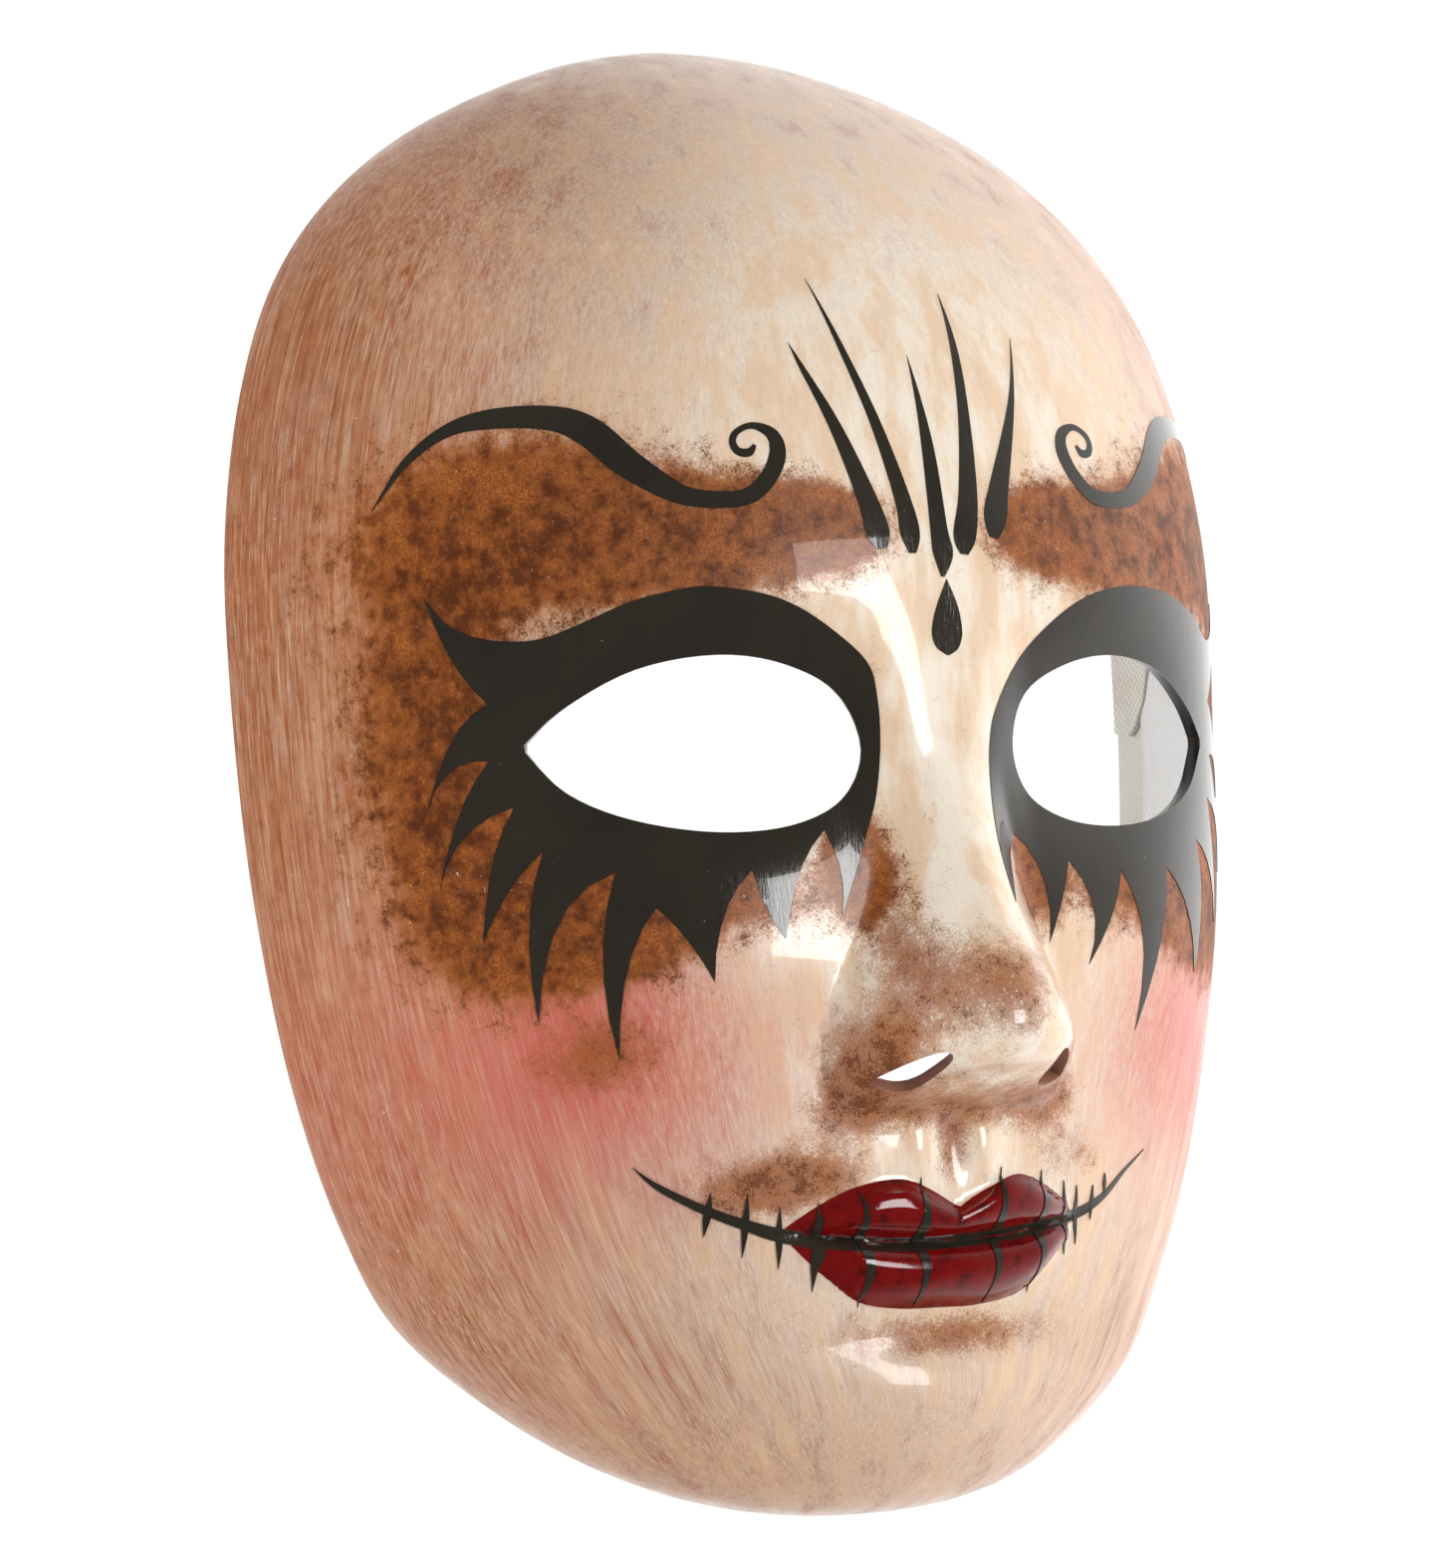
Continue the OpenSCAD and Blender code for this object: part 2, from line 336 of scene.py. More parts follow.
# %% A finish and the nodes it is made of
class Finish:
    """A node material around one shader, with the mask shapes that paint needs."""

    def __init__(self, name, **uniform):
        self.material = bpy.data.materials.new(name)
        self.material.use_nodes = True
        self.tree = self.material.node_tree
        self.shader = self.tree.nodes["Principled BSDF"]
        self.paint(**uniform)
        where = self.tree.nodes.new("ShaderNodeTexCoord").outputs["Object"]
        self.place = self.node("VectorMath", {"operation": "SCALE"}, {0: Wire(self, where), "Scale": 1 / MM})
        parts = self.node("SeparateXYZ", {}, {0: self.place}).socket.node.outputs
        self.x, self.y, self.z = (Wire(self, part) for part in parts)

    def node(self, kind, settings, sockets, output=0):
        """Adds a node with its settings, then the values or wires of its sockets, and returns one output."""
        made = self.tree.nodes.new("ShaderNode" + kind)
        for name, value in settings.items():
            setattr(made, name, value)
        for key, value in sockets.items():
            if isinstance(value, Wire):
                self.tree.links.new(value.socket, made.inputs[key])
            else:
                made.inputs[key].default_value = value
        return Wire(self, made.outputs[output])

    def paint(self, **sockets):
        """Sets or links sockets of the shader, named with underscores for spaces."""
        for name, value in sockets.items():
            socket = self.shader.inputs[name.replace("_", " ")]
            if isinstance(value, Wire):
                self.tree.links.new(value.socket, socket)
            elif isinstance(value, tuple):
                socket.default_value = (*value, 1)
            else:
                socket.default_value = value

    def vector(self, x, y, z):
        return self.node("CombineXYZ", {}, {0: x, 1: y, 2: z})

    def noise(self, vector, scale, detail=2.0, roughness=0.5, distortion=0.0):
        sockets = {"Vector": vector, "Scale": scale, "Detail": detail, "Roughness": roughness}
        return self.node("TexNoise", {}, {**sockets, "Distortion": distortion})

    def step(self, value, low, high, start=0.0, end=1.0):
        """Rises smoothly from start to end while the value goes from low to high."""
        sockets = {"Value": value, "From Min": low, "From Max": high, "To Min": start, "To Max": end}
        return self.node("MapRange", {"interpolation_type": "SMOOTHSTEP"}, sockets)

    def mix(self, factor, below, above):
        """The colour below, covered by the colour above as far as the factor says."""
        colours = [c if isinstance(c, Wire) else (*c, 1) for c in (below, above)]
        return self.node("Mix", {"data_type": "RGBA"}, {0: factor, 6: colours[0], 7: colours[1]}, output=2)

    def patch(self, x, z, wide, high, sideways=None):
        """A soft round patch of paint as seen from in front, 1 in its middle and 0 far outside."""
        across = ((self.x if sideways is None else sideways) - x) / wide
        up = (self.z - z) / high
        return self.node("Math", {"operation": "EXPONENT"}, {0: (across * across + up * up) * -1})

    def bump(self, height, strength, distance=0.1):
        """Turns a height, 0 to 1, into the shader's normal; distance is in millimetres."""
        sockets = {"Height": height, "Strength": strength, "Distance": distance * MM}
        self.paint(Normal=self.node("Bump", {}, sockets))


# %% [markdown]
# The ground of the mask is cream paint under a brown glaze that was brushed on and wiped off, so it is
# darker towards the rim and full of fine streaks that run from chin to crown. Rust was dabbed
# on with a sponge around the eyes and umber on the nose tip, a cheek and the crown, and blush was rubbed
# into the cheeks. The same browns also darken the creases beside and under the nose, beside the mouth,
# in the philtrum and under the lower lip, which is painted shade. Each is a mask of a few soft patches,
# broken up by noise.

# %% Aged and varnished face paint
IVORY, CREAM, TAN, BROWN = (0.90, 0.80, 0.67), (0.81, 0.60, 0.42), (0.37, 0.115, 0.033), (0.22, 0.055, 0.014)
# On the next line, the first two browns also paint shade into the creases around nose and mouth.
STAIN_AND_SHADE, DARK_UMBER_AND_SHADE, BLUSH = (0.34, 0.095, 0.02), (0.12, 0.03, 0.007), (0.58, 0.125, 0.095)
RUST_LIGHT, RUST, RUST_DARK = (0.44, 0.135, 0.018), (0.20, 0.042, 0.004), (0.06, 0.012, 0.002)
CHIP = (0.85, 0.80, 0.74)


def face_paint():
    f = Finish("aged_face_paint", Coat_Roughness=0.03, Coat_IOR=1.5, IOR=1.4)
    side = abs(f.x)
    rise = (f.z - 5) / 125
    girth = f.x / (1.02 - rise * rise) ** 0.5
    hair = f.noise(f.vector(girth * 3.6, f.y * 3.6, f.z * 0.12), 1, 3, 0.65)
    streaks = f.noise(f.vector(girth * 1.3, f.y * 1.3, f.z * 0.05), 1, 4, 0.7)
    smears = f.noise(f.vector(girth * 0.16, f.y * 0.16, f.z * 0.05), 1, 4, 0.6)
    grain = f.noise(f.place, 2.8, 3, 0.75)
    dabs = f.noise(f.place, 0.3, 5, 0.72)

    outwards = ((f.x / 74) ** 2 + f.z * f.z / 19000) ** 0.5
    age = f.step(outwards + (smears - 0.5) * 0.7, 0.4, 1.1)
    ground = f.mix(f.step(smears, 0.38, 0.62), CREAM, IVORY)
    brushed = (streaks - 0.5) * 1.1 + (hair - 0.5) * 1.2
    colour = f.mix((age * 0.85 + brushed * (0.35 + age * 0.4)).most(0).least(1), ground, TAN)
    rim = f.step(outwards + (dabs - 0.5) * 0.35 + (streaks - 0.5) * 0.3, 0.97, 1.2)
    colour = f.mix(rim * 0.6, colour, BROWN)

    blush = f.patch(56, -42, 17, 22, side) * 0.75 + f.patch(40, -50, 20, 18, side) * 0.4
    blush = blush * (0.8 + smears * 0.4)
    colour = f.mix((blush + brushed * blush * 0.9).most(0).least(0.95), colour, BLUSH)

    # Brown patches: on the nose tip, a cheek and the crown they are sponged umber; beside and under the
    # nose, beside the mouth, in the philtrum and under the lower lip they are painted shade in the creases.
    umber_and_crease_shade = f.patch(-2, -40, 12, 9) + f.patch(17, -50, 5, 8, side) * 1.2 + f.patch(8, -56, 13, 4, side)
    umber_and_crease_shade = umber_and_crease_shade + f.patch(0, -62, 3, 6) * 0.9 + f.patch(2, -89, 22, 4) + f.patch(-29, -67, 13, 5)
    umber_and_crease_shade = umber_and_crease_shade + f.patch(22, -64, 10, 5, side) * 0.6 + f.patch(-51, -46, 9, 7)
    umber_and_crease_shade = umber_and_crease_shade + f.patch(-12, 6, 2.5, 9) * 0.5
    umber_and_crease_shade = umber_and_crease_shade + f.patch(-35, 100, 30, 8) * 0.5 + f.patch(12, -30, 4, 12, side) * 0.7
    # The middle brown, then the dark dots, follow these patches: umber dabs on the tip, cheek and crown, and
    # painted shade in the creases.
    browned = f.step(umber_and_crease_shade * 0.9 + (grain - 0.5) * 1.6 + (dabs - 0.5) * 1.6, 0.25, 0.75)
    colour = f.mix(browned * umber_and_crease_shade.least(1) * 0.85, colour, STAIN_AND_SHADE)
    dotted = f.step(umber_and_crease_shade * 0.45 + (grain - 0.5) * 1.6 + (dabs - 0.5) * 1.8, 0.48, 0.75)
    colour = f.mix(dotted * 0.8, colour, DARK_UMBER_AND_SHADE)

    rust = f.patch(57, 31, 17, 14, side) + f.patch(35, 27, 18, 9, side) + f.patch(19, 28, 10, 6, side)
    rust = rust + f.patch(68, 2, 7, 24, side) + f.patch(61, -24, 8, 13, side) + f.patch(50, -29, 10, 8, side)
    rust = rust + f.patch(36, -24, 17, 7, side) * 0.8 + f.patch(15, -21, 5, 9, side)
    dabbed = f.step(rust + (grain - 0.5) * 0.9 + (dabs - 0.5) * 0.9, 0.15, 0.6)
    colour = f.mix(dabbed * 0.97, colour, f.mix(f.step(grain, 0.44, 0.58), RUST, RUST_LIGHT))
    deep = f.patch(62, 20, 12, 14, side) + f.patch(66, -8, 8, 16, side)
    dark = f.step((grain - 0.5) * 2 + (dabs - 0.5) * 2.2 + rust * 0.25 + deep * 0.2, 0.15, 0.65)
    colour = f.mix(dark * dabbed * 0.88, colour, RUST_DARK)

    flakes = f.noise(f.place, 0.9, 4, 0.85) + f.patch(-1, -45, 12, 5) * 0.08
    chips = f.step(flakes, 0.67, 0.69) * f.step(smears + f.patch(-1, -45, 12, 5), 0.48, 0.6)
    colour = f.mix(chips * 0.8, colour, CHIP)
    f.paint(Base_Color=colour, Roughness=0.14 + streaks * 0.12 + age * 0.2 + dabbed * 0.22)
    f.paint(Coat_Weight=(0.55 - age * 0.5 - dabbed * 0.3).most(0))
    f.bump(hair * 0.5 + streaks * 0.35 + dabbed * grain * 0.7 + dotted * grain * 0.4, 0.4, 0.05)
    return f.material


# %% [markdown]
# The wall shows its edge at the holes and at the rim. At the eyes the black enamel runs over the edge,
# and at the rim the edge is bare, a little dirty board. One finish does both, by where it is on the mask.

# %% Edge and inside of the wall
def wall_edge():
    f = Finish("wall_edge", Coat_Weight=0.3, Coat_Roughness=0.1)
    fibre = f.noise(f.place, 1.6, 4, 0.7)
    bare = f.mix(fibre, (0.30, 0.16, 0.09), (0.55, 0.40, 0.27))
    front = f.step(f.y, -25, -15, 1, 0)
    eye = front * f.step(f.z, -35, -30)
    dark = f.mix(eye, (0.25, 0.10, 0.06), (0.012, 0.011, 0.010))
    f.paint(Base_Color=f.mix(front, bare, dark), Roughness=0.5 - eye * 0.25 + fibre * 0.1)
    f.bump(fibre, 0.5, 0.1)
    return f.material


def bare_inside():
    f = Finish("pressed_board", Roughness=0.85)
    fibre = f.noise(f.place, 0.9, 5, 0.7)
    blots = f.noise(f.place, 0.06, 3, 0.6)
    colour = f.mix(fibre, (0.50, 0.46, 0.41), (0.68, 0.65, 0.60))
    f.paint(Base_Color=f.mix(f.step(blots, 0.5, 0.7) * 0.4, colour, (0.42, 0.33, 0.24)))
    f.bump(fibre, 0.6, 0.15)
    return f.material


# %% Make a piece from a mesh
def piece(name, mesh, slot, *materials):
    """An object with this mesh, its finishes and its body. The slot argument is not used."""
    data = bpy.data.meshes.new(name)
    mesh.to_mesh(data)
    mesh.free()
    data.shade_smooth()
    made = bpy.data.objects.new(name, data)
    bpy.context.scene.collection.objects.link(made)
    for material in materials:
        data.materials.append(material)
    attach(made, "root")
    return made


def thicken(made, wall, **settings):
    """A wall that grows inwards from the skin."""
    modifier = made.modifiers.new("wall", "SOLIDIFY")
    modifier.thickness = wall * MM
    modifier.offset = -1
    for name, value in settings.items():
        setattr(modifier, name, value)


def round_edges(made, width, segments=2):
    modifier = made.modifiers.new("rounded", "BEVEL")
    modifier.width = width * MM
    modifier.segments = segments
    modifier.limit_method = "ANGLE"
    modifier.angle_limit = math.radians(50)
    modifier.use_clamp_overlap = True


# %% The shell
SHELL_WALL = 1.8
shell = piece("mask_shell", shell_mesh, "painted_shell", face_paint(), bare_inside(), wall_edge())
thicken(shell, SHELL_WALL, material_offset=1, material_offset_rim=2)
round_edges(shell, 0.35)
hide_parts("face_shell")

# %% [markdown]
# Paint laid on with a brush stands up from the varnish by about a tenth of a millimetre, and its edge
# catches the light. A texture could draw it, but the lines must stay sharp at any distance, so each shape
# is a thin film. A wide shape is one flat face cut into small cells and dropped onto the skin; a brush
# line is a strip of cells.

# %% Flat shapes and brush strokes
CELL = 0.8
FILM_WALL = 0.24
SHARP_TURN = math.radians(40)


def fill_shape(mesh, outline, cell=CELL):
    """Adds a flat face inside an outline and cuts it into cells."""
    corners = [mesh.verts.new((x * MM, 0, z * MM)) for x, z in outline]
    face = mesh.faces.new(corners)
    face.normal_update()
    if face.normal.y > 0:
        face.normal_flip()
    geometry = [face, *face.edges, *face.verts]
    for axis, sort in ((Vector((1, 0, 0)), 0), (Vector((0, 0, 1)), 1)):
        low, high = min(p[sort] for p in outline), max(p[sort] for p in outline)
        for k in range(1, int((high - low) / cell) + 1):
            cut = bmesh.ops.bisect_plane(
                mesh, geom=geometry, plane_co=axis * (low + k * cell) * MM, plane_no=axis, dist=1e-7
            )
            geometry = cut["geom"]


def brush(mesh, line, across=4, cell=0.7):
    """Adds a strip of cells along a line of (x, z, half width)."""
    length = sum(math.dist(a[:2], b[:2]) for a, b in zip(line, line[1:]))
    count = max(8, int(length / cell))
    made = bmesh.ops.create_grid(mesh, x_segments=count, y_segments=across, size=1)["verts"]
    for v in made:
        place = (v.co.x + 1) / 2 * (len(line) - 1)
        x, z, half = along(line, place)
        ahead, behind = along(line, min(len(line) - 1, place + 0.05)), along(line, max(0, place - 0.05))
        heading = Vector((ahead[0] - behind[0], ahead[1] - behind[1])).normalized()
        shift = v.co.y * max(half, 0)
        v.co = Vector((x - heading.y * shift, 0, z + heading.x * shift)) * MM
    faces = {face for v in made for face in v.link_faces}
    for face in faces:
        face.normal_update()
        if face.normal.y > 0:
            face.normal_flip()


def lay_film(name, mesh, lift, slot, material):
    """Drops the flat shapes onto the skin twice, as the back and the front of a closed coat of paint."""
    bmesh.ops.remove_doubles(mesh, verts=mesh.verts, dist=0.01 * MM)
    behind = set(mesh.verts)
    bmesh.ops.extrude_face_region(mesh, geom=mesh.faces[:], use_keep_orig=True)
    for v in mesh.verts:
        height = lift - FILM_WALL if v in behind else lift
        v.co = on_skin(v.co.x, v.co.z, height * MM)
    bmesh.ops.recalc_face_normals(mesh, faces=mesh.faces[:])
    film = piece(name, mesh, slot, material)
    film.data.set_sharp_from_angle(angle=SHARP_TURN)
    print(name, len(film.data.polygons), "cells")
    return film


# %% [markdown]
# Black enamel is nearly black with a warm cast, glossy, with brush marks along the stroke and some dust
# dried in.

# %% Black enamel and lip lacquer
def enamel(name="black_enamel"):
    f = Finish(name, Coat_Weight=0.5, Coat_Roughness=0.03, IOR=1.45)
    marks = f.noise(f.vector(f.x * 2.2, f.y * 2.2, f.z * 0.25), 1, 3, 0.6)
    cloud = f.noise(f.place, 0.09, 2)
    dust = f.step(f.noise(f.place, 1.3, 3, 0.7), 0.73, 0.76)
    colour = f.mix(cloud, (0.016, 0.014, 0.011), (0.034, 0.026, 0.017))
    f.paint(Base_Color=f.mix(dust * 0.7, colour, (0.4, 0.36, 0.3)))
    f.paint(Roughness=0.06 + marks * 0.14 + dust * 0.3)
    f.bump(marks, 0.6, 0.06)
    return f.material


def lacquer():
    f = Finish("red_lacquer", Coat_Weight=0.35, Coat_Roughness=0.02, IOR=1.38)
    marks = f.noise(f.vector(f.x * 1.2, f.y, f.z * 0.4), 1, 4, 0.65)
    stain = f.step(f.noise(f.place, 0.35, 5, 0.75), 0.5, 0.66)
    colour = f.mix(marks, (0.11, 0.0015, 0.0015), (0.22, 0.004, 0.004))
    colour = f.mix(stain * 0.75, colour, (0.035, 0.001, 0.001))
    f.paint(Base_Color=colour, Roughness=0.05 + marks * 0.06)
    f.bump(marks, 0.25, 0.06)
    return f.material


# %% [markdown]
# The black around each eye was painted freehand, so the two sides differ. An outline is a smooth run from
# the wing over the lid to the innermost lash, then corners at the roots and tips of the lashes with a
# bowed edge between.

# %% Black around the eyes
LID_LEFT = [
    (-68.7, 21.3), (-66.5, 17), (-63, 14.5), (-57.6, 13.7), (-52.5, 15.4), (-46.7, 18), (-41.5, 19.3),
    (-35.7, 19.8), (-26.4, 17.9), (-18.7, 13.9), (-12.4, 8.7), (-10.7, 3.1), (-10.5, -3.8), (-11.5, -11),
    (-13.6, -17), (-18.2, -28.1),
]
LASHES_LEFT = [
    (-18.2, -28.1), (-17.8, -22), (-19.4, -15.6), (-24.4, -22.2), (-26.9, -31.1), (-29.5, -26.8),
    (-31, -21), (-35.8, -27.6), (-37, -36.8), (-41, -30.3), (-44.6, -25.8), (-48.2, -34.2),
    (-48.4, -47), (-51.1, -33), (-49.3, -20.4), (-56, -26.8), (-57.8, -40.9), (-59.2, -27.5),
    (-57.3, -16.5), (-61.2, -21.8), (-63.8, -28.9), (-62.8, -17.8), (-60.1, -9.9),
]
LASHES_OUTER = [
    (-60.1, -9.9), (-65.5, -13.5), (-67.9, -20.7), (-65.8, -10), (-62.6, -3), (-66.6, -3.9),
    (-68.9, -9.1), (-66.2, 0.8), (-62.6, 5.1), (-66.2, 11.8), (-68.7, 21.3),
]
LID_RIGHT = [
    (68.7, 21.3), (66.5, 17), (63.5, 14.8), (60.4, 14.8), (55.5, 17.6), (46, 20.1), (34.8, 20.2),
    (24.8, 17.4), (15.6, 10.5), (9.2, 1.8), (7.3, -3.5), (6.4, -9.9), (5.5, -18), (5, -27.5),
]
LASHES_RIGHT = [
    (5, -27.5), (8.6, -21), (11.2, -16.6), (16.4, -22.8), (17.3, -32.8), (20.3, -25.5),
    (22, -20.7), (26, -28), (24.9, -36.2), (29.9, -28.5), (32.5, -22), (36.4, -32.5),
    (35.7, -45.8), (40.6, -33), (43.3, -21.5), (48.6, -28), (51.5, -37), (53.8, -25.5),
    (53.6, -16.8), (58.5, -21), (61, -29), (61, -18), (60.1, -9.9),
]
black = bmesh.new()
for lid, lashes, outer, hole in (
    (LID_LEFT, LASHES_LEFT, LASHES_OUTER, holes[1]),
    (LID_RIGHT, LASHES_RIGHT, mirrored(LASHES_OUTER), holes[0]),
):
    fill_shape(black, smooth_run(lid)[:-1] + bowed(lashes)[:-1] + bowed(outer)[:-1])
    open_hole(black, hole)
lay_film("eye_enamel", black, 0.12, "painted_shell", enamel())

# %% [markdown]
# Brows, forehead rays, the drop between the eyes, the drawn smile and its stitches are single strokes of
# a pointed brush. Each is a centre line with the half width of the stroke, which is what the hand of the
# painter controls.

# %% Brush lines
BROW = [
    (-72.4, 35.1, 0), (-69, 41.3, 0.4), (-64.9, 45.2, 0.8), (-60.2, 46.5, 1.45), (-53.3, 45.9, 1.85),
    (-49.1, 43.6, 2.2), (-45, 38.6, 2.1), (-41, 35, 1.75), (-37.6, 33, 1.4), (-32.9, 32.3, 1.25),
    (-28.9, 32.9, 1.2), (-25.7, 35.8, 1.2), (-24.1, 39.2, 1.2), (-24.6, 41.9, 0.95), (-27.2, 43.2, 0.5),
    (-29.6, 42.3, 0.45), (-30.4, 40.8, 0.5), (-29.8, 39.4, 0.6), (-28.3, 39.2, 0.6), (-27.3, 40.3, 0.25),
]
RAYS = [
    [
        (-19.3, 55.9, 0), (-17.9, 51.5, 0.45), (-14.6, 42.6, 1.0), (-11.4, 32, 1.6), (-10.4, 27, 1.9),
        (-10.1, 24.6, 0.8),
    ],
    [(-13.5, 66.2, 0), (-11.1, 55, 0.5), (-8, 43, 0.9), (-5.6, 32, 1.35), (-5.1, 27, 1.65), (-5, 24, 0.6)],
    [(-0.4, 54.1, 0), (-0.1, 46, 0.6), (0, 38.5, 1.1), (-0.1, 28, 1.45), (0.2, 24, 1.7), (-0.1, 20.6, 0.3)],
    [
        (8.5, 64.4, 0), (8.3, 55.5, 0.6), (7.3, 44.5, 1.0), (5.7, 32.5, 1.65), (4.2, 26.6, 1.9),
        (3.8, 23.9, 0.7),
    ],
    [(19.7, 57.7, 0), (17, 48.1, 0.5), (12, 35.2, 1.6), (10.1, 29.6, 2), (9.4, 26.4, 0.8)],
]
DROP = [(0.5, 20.3, 0), (0.45, 16.2, 1.85), (0.3, 12.6, 2.6), (0.4, 10.3, 1.9), (0.4, 9.2, 0.2)]
SMILE = [
    (-46, -62.3, 0), (-42.6, -65.4, 0.4), (-36.8, -68.9, 0.6), (-31.3, -71.4, 0.75), (-26.1, -73.3, 1.0),
    (-18.3, -74.9, 1.1), (-8.5, -75.7, 1.1), (-0.5, -75.7, 1.0), (8.7, -75.1, 1.0), (16.4, -74.2, 0.95),
    (24.4, -72.6, 0.8), (30.1, -70.2, 0.5), (35, -66.6, 0.25), (40, -63.5, 0),
]
STITCHES = [
    (-35.9, -66.6, -36.5, -72.9, 0.55), (-31, -67, -31.2, -76.2, 0.5), (-26.5, -69.2, -26.1, -78.1, 0.5),
    (-21, -68.9, -21, -81.7, 0.8), (-15.4, -67.4, -13.8, -84.3, 0.8), (-5.8, -66.1, -5.4, -84.8, 0.9),
    (8.2, -65.2, 6.5, -84.6, 0.8), (16.2, -65.9, 15.2, -83.6, 0.7), (20.9, -67.6, 22.1, -78.5, 0.45),
    (23.8, -68.4, 24.4, -77.1, 0.4), (27.5, -68.5, 27.4, -73.6, 0.35), (30.2, -66.8, 30.3, -70, 0.3),
]
lines = bmesh.new()
brush(lines, BROW, cell=0.5)
brush(lines, [(1.2 - x, z + 1, half) for x, z, half in BROW], cell=0.5)
for ray in RAYS:
    brush(lines, ray)
brush(lines, DROP, across=8)
lay_film("brush_lines", lines, 0.12, "painted_shell", enamel("line_enamel"))

# %% Lips
LIPS_OUTLINE_UPPER = [
    (-26.3, -72.9), (-21.3, -69.5), (-15.6, -67), (-8.8, -66.3), (-3.9, -68), (0.9, -70.7),
]
LIPS_OUTLINE_REST = [
    (0.9, -70.7), (5.3, -68.4), (11.8, -66.4), (18.4, -68.9), (22.9, -72.9), (18.4, -79),
    (14.2, -83.3), (6.8, -84.9), (-1, -85), (-7.5, -84.8), (-13.7, -83.6), (-18.8, -80.1), (-22.9, -76.5),
    (-26.3, -72.9),
]
red = bmesh.new()
fill_shape(red, smooth_run(LIPS_OUTLINE_UPPER)[:-1] + smooth_run(LIPS_OUTLINE_REST)[:-1], cell=0.6)
lay_film("lip_paint", red, 0.1, "painted_shell", lacquer())

mouth = bmesh.new()
brush(mouth, SMILE, across=6, cell=0.5)
lay_film("smile_line", mouth, 0.2, "painted_shell", enamel("smile_enamel"))
stitches = bmesh.new()
for top_x, top_z, low_x, low_z, half in STITCHES:
    middle = ((top_x + low_x) / 2, (top_z + low_z) / 2, half)
    brush(stitches, [(top_x, top_z, 0), middle, (low_x, low_z, 0)], cell=0.4)
lay_film("stitches", stitches, 0.26, "painted_shell", enamel("stitch_enamel"))

# %% [markdown]
# Behind the shell sits a thin cloth lining, glued in. It stops short of the rim and is cut a little wider
# than the holes. It is laid on the same curves, further in by the wall of the shell.

# %% Lining cloth
def woven(name, dark, light, pitch, browned=0.25):
    """Plain weave: two crossed sets of threads, pitch millimetres apart, stained in large blots."""
    f = Finish(name, Roughness=0.9)
    wobble = (f.noise(f.place, 0.5, 3) - 0.5) * 5
    turn = 2 * math.pi / pitch
    warp = ((f.x - f.y) * turn + wobble).reckon("SINE", (f.x - f.y) * turn + wobble)
    weft = (f.z * turn + wobble).reckon("SINE", f.z * turn + wobble)
    threads = warp * weft * 0.5 + 0.5
    fuzz = f.noise(f.place, 1.5, 4, 0.7)
    stain = f.noise(f.place, 0.04, 3, 0.6)
    colour = f.mix(threads * 0.7 + fuzz * 0.3, dark, light)
    f.paint(Base_Color=f.mix(f.step(stain, 0.5, 0.75) * browned, colour, (0.35, 0.27, 0.2)))
    f.bump(threads + fuzz * 0.5, 0.6, 0.12)
    return f.material


LINING_WALL = 0.5
LINING_MARGIN = 9
# The cloth bridges the sharp crease between the lips instead of following it.
GLUE_GAP, CREASE_GAP = 0.05, 1.1
LINING_RELIEF = 1.5


def widened(outline, margin):
    """The outline moved outwards from its own middle line by about the margin."""
    centre = Vector((sum(p[0] for p in outline), sum(p[1] for p in outline))) / len(outline)
    grown = []
    for k, point in enumerate(outline):
        before, after = Vector(outline[k - 1]), Vector(outline[(k + 1) % len(outline)])
        edge = (after - before).normalized()
        outward = Vector((edge.y, -edge.x))
        if outward.dot(Vector(point) - centre) < 0:
            outward = -outward
        grown.append(tuple(Vector(point) + outward * margin))
    return grown


lining_mesh = face_grid(140, 170)
for hole in holes:
    edge = open_hole(lining_mesh, widened(hole, LINING_RELIEF))
    for v in edge:
        v.co = on_skin(v.co.x, v.co.z)
near_rim = [face for face in lining_mesh.faces if face.calc_center_median().y > -LINING_MARGIN * MM]
bmesh.ops.delete(lining_mesh, geom=near_rim, context="FACES")
lining_mesh.normal_update()
for v in lining_mesh.verts:
    mouth_crease = bell(v.co.x / MM, 32) * bell(v.co.z / MM + 74, 9)
    v.co -= v.normal * (SHELL_WALL + GLUE_GAP + CREASE_GAP * mouth_crease) * MM
lining_weave = woven("lining_weave", (0.64, 0.63, 0.62), (0.74, 0.73, 0.73), 1.5, browned=0.12)
lining = piece("lining_cloth", lining_mesh, "lining", lining_weave)
thicken(lining, LINING_WALL)
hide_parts("inner_lining")

# %% [markdown]
# At each temple a lens of ribbed cloth is glued inside the rim, and a loop of woven tape under it takes
# the tie.

# %% Temple patches and tie loops
for side in ("left", "right"):
    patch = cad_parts["temple_patch_" + side]
    patch.data.materials.clear()
    patch.data.materials.append(woven("patch_rib_" + side, (0.46, 0.43, 0.38), (0.76, 0.73, 0.67), 1.3))
    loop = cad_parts["tie_loop_" + side]
    loop.data.materials.clear()
    loop.data.materials.append(woven("tape_weave_" + side, (0.60, 0.57, 0.51), (0.80, 0.77, 0.71), 0.8))

# %% [markdown]
# The studio: a white room with a tall soft light in front of the mask, which draws the square highlights
# in the varnish, a broad fill on each side and one behind that lights the lining. The fills and the floor
# are kept out of the reflections, so black and red stay deep. The room is brighter behind on the right,
# which washes out that edge. The floor is plain and pale.

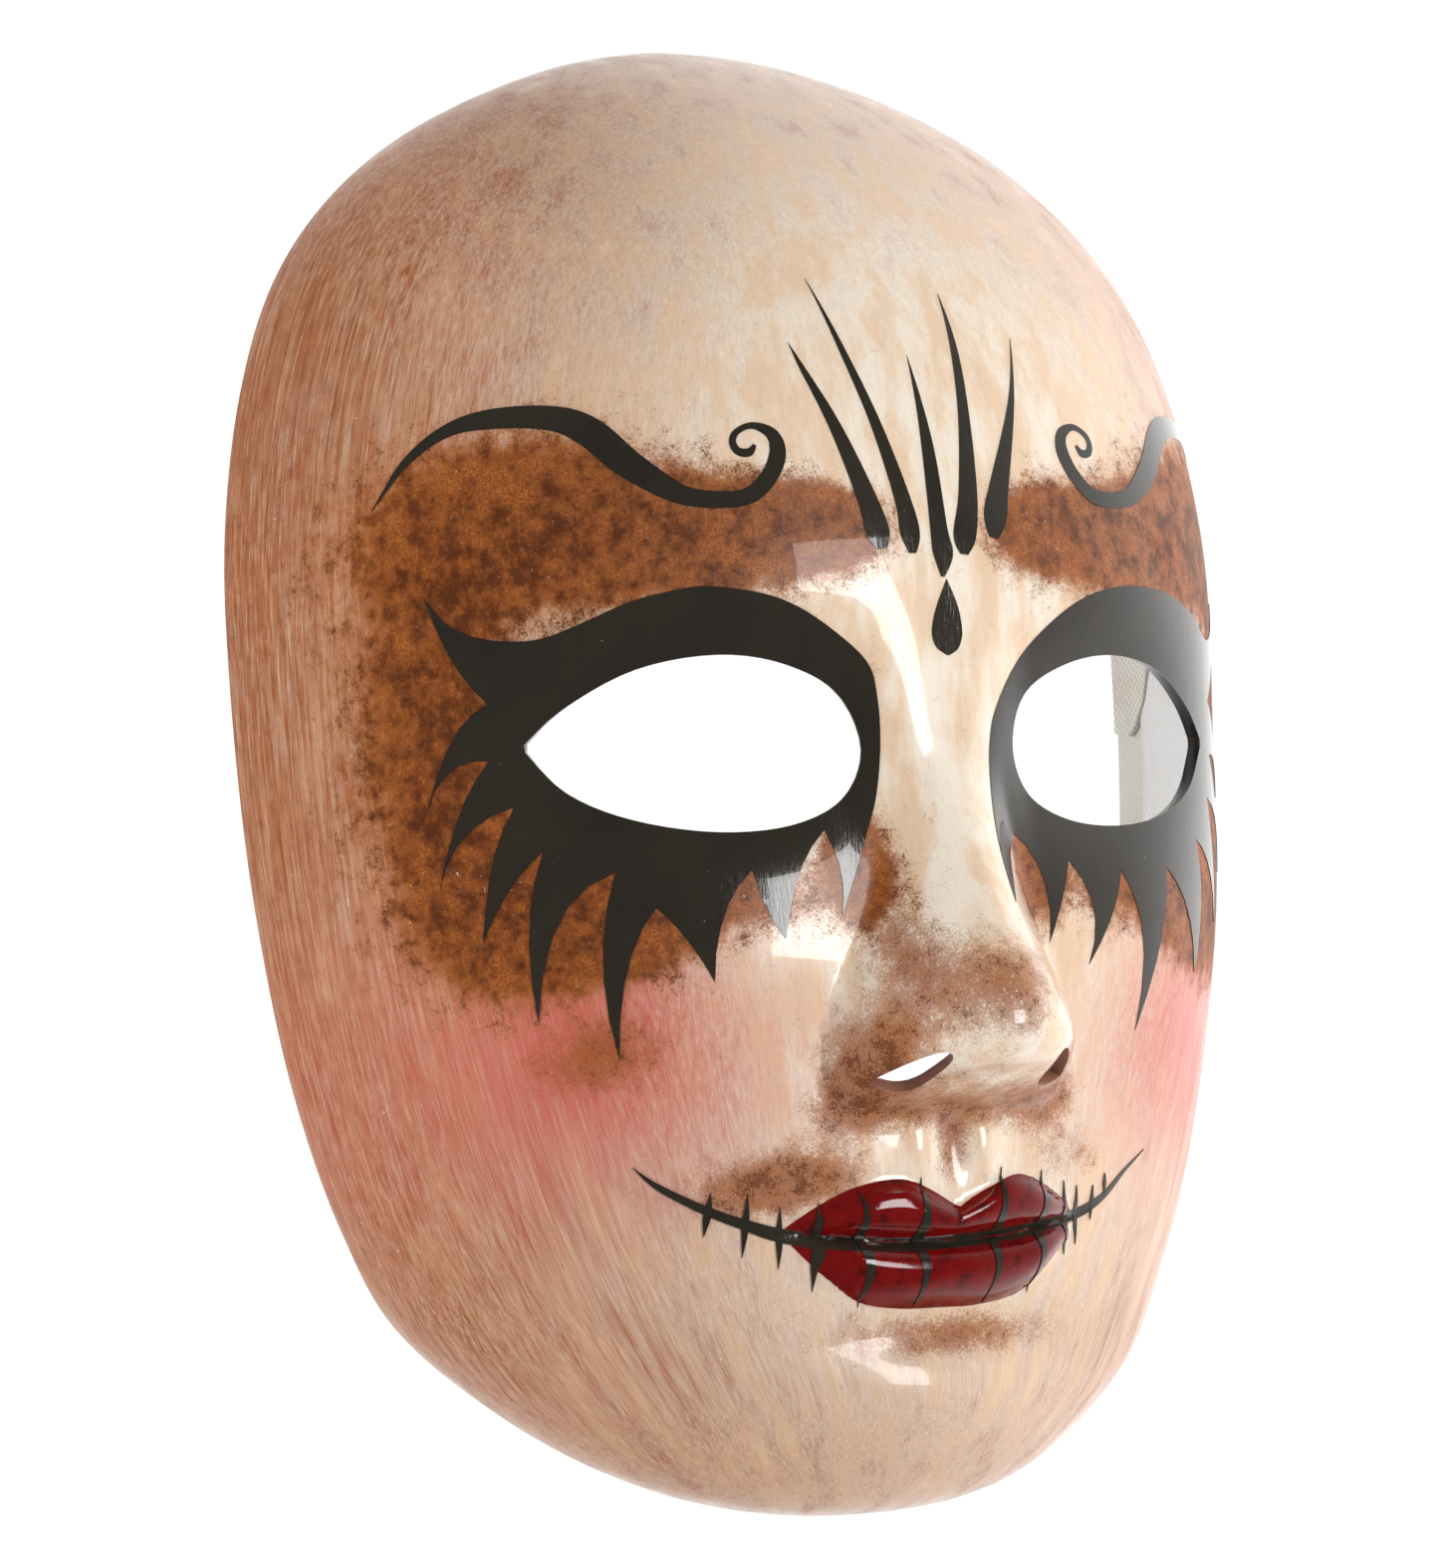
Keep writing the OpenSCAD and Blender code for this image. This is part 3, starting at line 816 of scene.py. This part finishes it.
# %% Lights, floor and room
def softbox(name, place, size, brightness):
    """A square light that faces the mask; brightness is its radiance."""
    light = bpy.data.lights.new(name, "AREA")
    light.shape = "RECTANGLE"
    light.size, light.size_y = size
    light.energy = brightness * math.pi * size[0] * size[1]
    lamp = bpy.data.objects.new(name, light)
    lamp.location = place
    lamp.rotation_euler = Vector(place).to_track_quat("Z", "Y").to_euler()
    bpy.context.scene.collection.objects.link(lamp)
    return lamp


softbox("front_softbox", (0.28, -1.17, 0.05), (0.36, 0.62), 11.5)
for name, place, size, brightness in (
    ("right_fill", (1.15, 0.1, 0.25), (0.9, 1.1), 3.4),
    ("left_fill", (-0.75, -0.35, 0.95), (1.0, 1.2), 1.5),
    ("inside_fill", (-1.1, 0.5, 0.05), (0.6, 0.8), 7),
):
    softbox(name, place, size, brightness).visible_glossy = False

FLOOR_HALF, FLOOR_HEIGHT = 1.6, -0.45
floor_mesh = bmesh.new()
bmesh.ops.create_grid(floor_mesh, x_segments=1, y_segments=1, size=FLOOR_HALF)
floor_data = bpy.data.meshes.new("floor")
floor_mesh.to_mesh(floor_data)
floor_mesh.free()
floor = bpy.data.objects.new("floor", floor_data)
floor.location = (0, 0, FLOOR_HEIGHT)
bpy.context.scene.collection.objects.link(floor)
floor_finish = Finish("floor_paint", Base_Color=(0.8, 0.8, 0.79), Roughness=0.7)
floor_data.materials.append(floor_finish.material)
floor.visible_glossy = False

world = bpy.data.worlds.new("white_room")
bpy.context.scene.world = world
world.use_nodes = True
sky = world.node_tree.nodes["Background"]
sky.inputs["Color"].default_value = (1, 1, 1, 1)
room = world.node_tree


def room_node(kind, **sockets):
    made = room.nodes.new("ShaderNode" + kind)
    for name, value in sockets.items():
        if isinstance(value, bpy.types.NodeSocket):
            room.links.new(value, made.inputs[name.replace("_", " ")])
        else:
            made.inputs[name.replace("_", " ")].default_value = value
    return made


BRIGHT_SIDE = (0.88, 0.47, 0)
direction = room.nodes.new("ShaderNodeTexCoord").outputs["Generated"]
facing = room.nodes.new("ShaderNodeVectorMath")
facing.operation = "DOT_PRODUCT"
facing.inputs[1].default_value = BRIGHT_SIDE
room.links.new(direction, facing.inputs[0])
lit = room_node(
    "MapRange", Value=facing.outputs["Value"], From_Min=0.1, From_Max=0.95, To_Min=0.1, To_Max=1.5
)
seen = room.nodes.new("ShaderNodeLightPath").outputs["Is Camera Ray"]
amount = room_node("MapRange", Value=seen, To_Min=lit.outputs["Result"], To_Max=1.05)
room.links.new(amount.outputs["Result"], sky.inputs["Strength"])
bpy.context.scene.view_settings.view_transform = "Standard"

# %% Camera
CAMERA_TARGET = Vector((0, -0.00434, -0.0023))
CAMERA_DISTANCE = 0.8812
LENS = 129.9
CAMERA_TURN, CAMERA_RISE, CAMERA_ROLL = math.radians(30), math.radians(-5), math.radians(-3.589)
back = Vector((
    -math.sin(CAMERA_TURN) * math.cos(CAMERA_RISE),
    -math.cos(CAMERA_TURN) * math.cos(CAMERA_RISE),
    math.sin(CAMERA_RISE),
))
level = (-back).cross(Vector((0, 0, 1))).normalized()
upright = level.cross(-back)
right = level * math.cos(CAMERA_ROLL) + upright * math.sin(CAMERA_ROLL)
up = upright * math.cos(CAMERA_ROLL) - level * math.sin(CAMERA_ROLL)
camera_data = bpy.data.cameras.new("camera")
camera_data.lens = LENS
camera_data.sensor_width = 36
camera = bpy.data.objects.new("camera", camera_data)
camera.matrix_world = Matrix.Translation(CAMERA_TARGET + back * CAMERA_DISTANCE) @ Matrix(
    (right, up, back)
).transposed().to_4x4()
bpy.context.scene.collection.objects.link(camera)
bpy.context.scene.camera = camera
